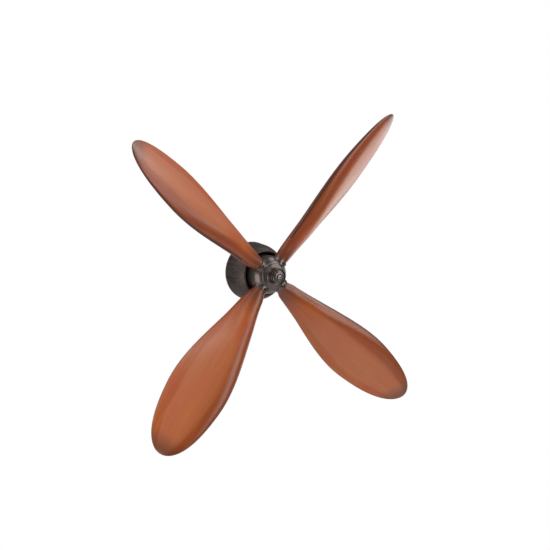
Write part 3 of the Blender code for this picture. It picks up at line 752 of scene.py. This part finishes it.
def make_nose():
    base = HUB_FRONT + 0.05
    lip = CAP_REAR - 0.3
    brow = [(24.1, base + 1.1), (22.0, base + 2.4), (19.3, base + 3.5), (17.3, base + 4.5)]
    fillet = [(16.3, base + 5.5), (15.9, base + 6.8)]
    dome = [
        (DOME_FLANGE, base),
        (DOME_FLANGE, base + 0.3),
        *smooth_line([*brow, *fillet, (NOSE_RING_RADIUS, base + 8.6)], 4),
        (NOSE_RING_RADIUS, NOSE_RING_FRONT),
        (NOSE_RING_BORE, NOSE_RING_FRONT),
        (NOSE_RING_BORE, lip),
        (11.0, lip),
        (11.0, lip - 2),
        (12.2, lip - 2),
        (12.2, base),
    ]
    piece("nose_dome_shell", turned("nose_dome_shell", dome, 160, 0.35), "rotor", "cast_metal", "nose_dome")

    rim = CAP_REAR + 4.0
    cap = [
        (2.8, CAP_REAR),
        (CAP_RADIUS, CAP_REAR),
        (CAP_RADIUS, rim),
        (CAP_RADIUS - 1.6, rim + 1.7),
        (CAP_RADIUS - 4.6, rim + 2.8),
        (7.0, rim + 3.1),
        (5.4, rim + 3.1),
        (5.4, CAP_SEAT),
        (2.8, CAP_SEAT),
    ]
    piece("nose_cap_boss", turned("nose_cap_boss", cap, round_off=0.9), "rotor", "cast_metal", "nose_cap")

    seat = CAP_SEAT + 1.4
    head = [
        (0, seat - 12),
        (2.5, seat - 12),
        (2.5, seat),
        (4.2, seat),
        (4.2, seat + 3),
        (0, seat + 3),
    ]
    hexagon = rod("nose_screw_socket", 2.1, seat + 1, seat + 5, 6)
    blank = turned("nose_screw_bright", head, 64, 0.35)
    screw = combined(blank, [(hexagon, Matrix.Identity(4))])
    piece("nose_screw_bright", screw, "rotor", "bright_steel", "nose_screw")


def slotted_screw(name, shank, length, head, height):
    """A screw along z, its head's underside at z = 0, with a saw slot across its domed head."""
    bends = [math.radians(bend) for bend in (20, 40, 60, 75)]
    crown = [(head * math.cos(bend), height * math.sin(bend)) for bend in bends]
    edge = [(shank, 0), (head, 0), (head, 0.25 * height)]
    profile = [(0, -length), (shank, -length), *edge, *crown, (0, height)]
    blank = turned(name, profile, 48, 0.12)
    bm = bmesh.new()
    bmesh.ops.create_cube(bm, size=1.0)
    bmesh.ops.scale(bm, vec=(head * 3, 0.9, height), verts=bm.verts)
    bmesh.ops.translate(bm, vec=(0, 0, height), verts=bm.verts)
    return combined(blank, [(mesh_from("slot", bm), about_axis(35))])


def socket_screw(name, radius, start, end):
    """A headless screw along z with a six-sided socket in its top."""
    profile = [(0, start), (radius, start + 1.0), (radius, end), (0, end)]
    hexagon = rod(name + "_socket", radius * 0.55, end - 1.6, end + 1, 6)
    return combined(turned(name, profile, 48, 0.25), [(hexagon, Matrix.Identity(4))])


def make_screws():
    cover_screw = slotted_screw("cover_screw_made", 2.0, 6.7, 3.5, 2.0)
    pattern = linked("cover_screw_pattern", cover_screw)
    ring = grown(
        "bell_cover_screws",
        screw_ring_tree(),
        {
            "Screw": pattern,
            "Count": len(BELL_SCREW_ANGLES),
            "Circle Radius": BELL_CURVE[0][0] - 0.9,
            "Height": BELL_SCREW_HEIGHT,
            "First Angle": math.radians(BELL_SCREW_ANGLES[0]),
            "Tilt": math.radians(90),
            "Finish": FINISHES["dark_steel"],
        },
    )
    nodes = [f"bell_screw_{number}" for number in (1, 2, 3)]
    piece("bell_cover_screws", ring, "wall_mount", "dark_steel", *nodes)
    bpy.data.objects.remove(pattern)

    for number, angle in enumerate(BLADE_ANGLES, 1):
        screw = socket_screw(f"blade_set_screw_{number}", LOCK_SCREW_RADIUS, 8.4, BOSS_RADIUS - 0.9)
        screw.transform(on_circle(LOCK_SCREW_PLACE, angle, BLADE_PLANE))
        piece(f"blade_set_screw_{number}", screw, "rotor", "dark_steel", f"blade_lock_screw_{number}")


def make_bell():
    inside = [(radius - BELL_WALL, height - 0.6) for radius, height in reversed(BELL_CURVE)]
    profile = [
        (56.7, 0),
        (57.2, 0.5),
        (57.2, 2.1),
        (56.7, 2.6),
        *smooth_line(BELL_CURVE, 5),
        (BELL_MOUTH_RADIUS + 1.4, BELL_MOUTH),
        (BELL_MOUTH_RADIUS, BELL_MOUTH - 0.6),
        (BELL_MOUTH_RADIUS, BELL_MOUTH - 2.4),
        *smooth_line(inside[1:], 5),
        (BELL_CURVE[0][0] - BELL_WALL, 0),
    ]
    shell = turned("bell_shell", profile, round_off=0.3)
    seat = BELL_CURVE[0][0] - 1.2
    hole = rod("bell_hole", 2.3, seat - 5, seat + 5, 32)
    spot_face = rod("bell_spot_face", 3.9, seat, seat + 5, 48)
    cutters = []
    for angle in BELL_SCREW_ANGLES:
        cutters.append((hole, radial(angle, BELL_SCREW_HEIGHT)))
        cutters.append((spot_face, radial(angle, BELL_SCREW_HEIGHT)))
    piece("bell_shell", combined(shell, cutters), "wall_mount", "bell_metal", "bell_cover")


def smooth_line(points, steps):
    """A smooth line through these points, with this many steps between each two."""
    line = []
    last = len(points) - 1
    for index in range(last):
        a, b, c, d = (
            Vector(points[min(max(i, 0), last)]) for i in (index - 1, index, index + 1, index + 2)
        )
        for step in range(steps):
            t = step / steps
            point = 0.5 * (
                2 * b + (c - a) * t + (2 * a - 5 * b + 4 * c - d) * t**2 + (3 * b - a - 3 * c + d) * t**3
            )
            line.append(tuple(point))
    line.append(tuple(points[-1]))
    return line


def make_plate():
    inner = PLATE_RADIUS - PLATE_RIM_WALL
    profile = [
        (0, 0),
        (PLATE_RADIUS, 0),
        (PLATE_RADIUS, PLATE_RIM),
        (inner, PLATE_RIM),
        (inner, PLATE_THICKNESS),
        (0, PLATE_THICKNESS),
    ]
    wall_hole = rod("plate_hole", 2.75, -2, 5, 40)
    housing_hole = rod("plate_tapping", 2.3, -2, 5, 32)
    side_hole = rod("plate_side_hole", 2.3, inner - 3, PLATE_RADIUS + 3, 32)
    cutters = [(wall_hole, on_circle(PLATE_HOLE_CIRCLE, angle)) for angle in (90, 210, 330)]
    cutters += [(housing_hole, on_circle(HOUSING_SCREW_CIRCLE, angle)) for angle in (45, 135, 225, 315)]
    cutters += [(side_hole, radial(angle, BELL_SCREW_HEIGHT)) for angle in BELL_SCREW_ANGLES]
    plate = turned("wall_plate_disc", profile, round_off=0.5)
    piece("wall_plate_disc", combined(plate, cutters), "wall_mount", "dark_steel", "wall_plate")


def finish_inner_parts():
    """Gives the frame's own parts that stay in view their finish."""
    slots = {row["node"]: row["material_slot"] for row in frame["record"]["subparts"]}
    for name, part in frame["nodes"].items():
        part.data.materials.clear()
        part.data.materials.append(FINISHES[slots[name]])


# ---------------------------------------------------------------- studio


def towards(azimuth, elevation):
    """A direction from the object: azimuth 0 is its front and 90 its right, in degrees."""
    round_, up = math.radians(azimuth), math.radians(elevation)
    return Vector((math.sin(round_) * math.cos(up), -math.cos(round_) * math.cos(up), math.sin(up)))


def make_studio():
    hub = Vector((0, -BLADE_PLANE * MM, 0))
    back = towards(VIEW_AZIMUTH, VIEW_ELEVATION)
    right = towards(VIEW_AZIMUTH + 90, 0)
    lens = bpy.data.cameras.new("camera")
    lens.lens = VIEW_LENS
    lens.sensor_width = 36.0
    camera = linked("camera", lens)
    aim = hub + right * VIEW_ASIDE
    camera.location = hub + back * VIEW_DISTANCE
    camera.rotation_euler = (aim - camera.location).to_track_quat("-Z", "Y").to_euler()
    bpy.context.scene.camera = camera

    bm = bmesh.new()
    bmesh.ops.create_circle(bm, cap_ends=True, segments=96, radius=FLOOR_RADIUS)
    paper = bpy.data.meshes.new("studio_floor")
    bm.to_mesh(paper)
    bm.free()
    paper.materials.append(white_paper())
    floor = linked("studio_floor", paper, Matrix.Translation((0, 0, FLOOR_HEIGHT)))

    for name, azimuth, elevation, size, power in (
        ("softbox_key", 50, 28, 1.9, 24),
        ("softbox_front", 20, 8, 1.5, 21),
        ("softbox_high_right", 85, 50, 1.7, 24),
        ("softbox_left", -100, 40, 1.7, 20),
        ("softbox_high_left", -60, 65, 1.5, 16),
        ("softbox_low_left", -75, -15, 1.9, 30),
        ("softbox_rim", 110, -15, 1.7, 12),
    ):
        light = bpy.data.lights.new(name, "AREA")
        light.shape = "SQUARE"
        light.size = size
        light.energy = power
        lamp = linked(name, light)
        lamp.visible_camera = False
        lamp.location = towards(azimuth, elevation) * LIGHT_DISTANCE
        lamp.rotation_euler = (hub - lamp.location).to_track_quat("-Z", "Y").to_euler()

    world = bpy.data.worlds.new("white_studio")
    bpy.context.scene.world = world
    world.use_nodes = True
    tree = world.node_tree
    tree.nodes["Background"].inputs["Color"].default_value = (1, 1, 1, 1)
    tree.nodes["Background"].inputs["Strength"].default_value = 0.22
    seen = add(tree, "ShaderNodeBackground", {"Color": (1, 1, 1, 1), "Strength": 1.0})
    path = add(tree, "ShaderNodeLightPath")
    chosen = add(
        tree,
        "ShaderNodeMixShader",
        {0: path.outputs["Is Camera Ray"], 1: tree.nodes["Background"].outputs[0], 2: seen.outputs[0]},
    )
    tree.links.new(chosen.outputs[0], tree.nodes["World Output"].inputs["Surface"])
    bpy.context.scene.view_settings.view_transform = "Standard"


finish_inner_parts()
make_blades()
make_hub()
make_nose()
make_screws()
make_bell()
make_plate()
make_studio()
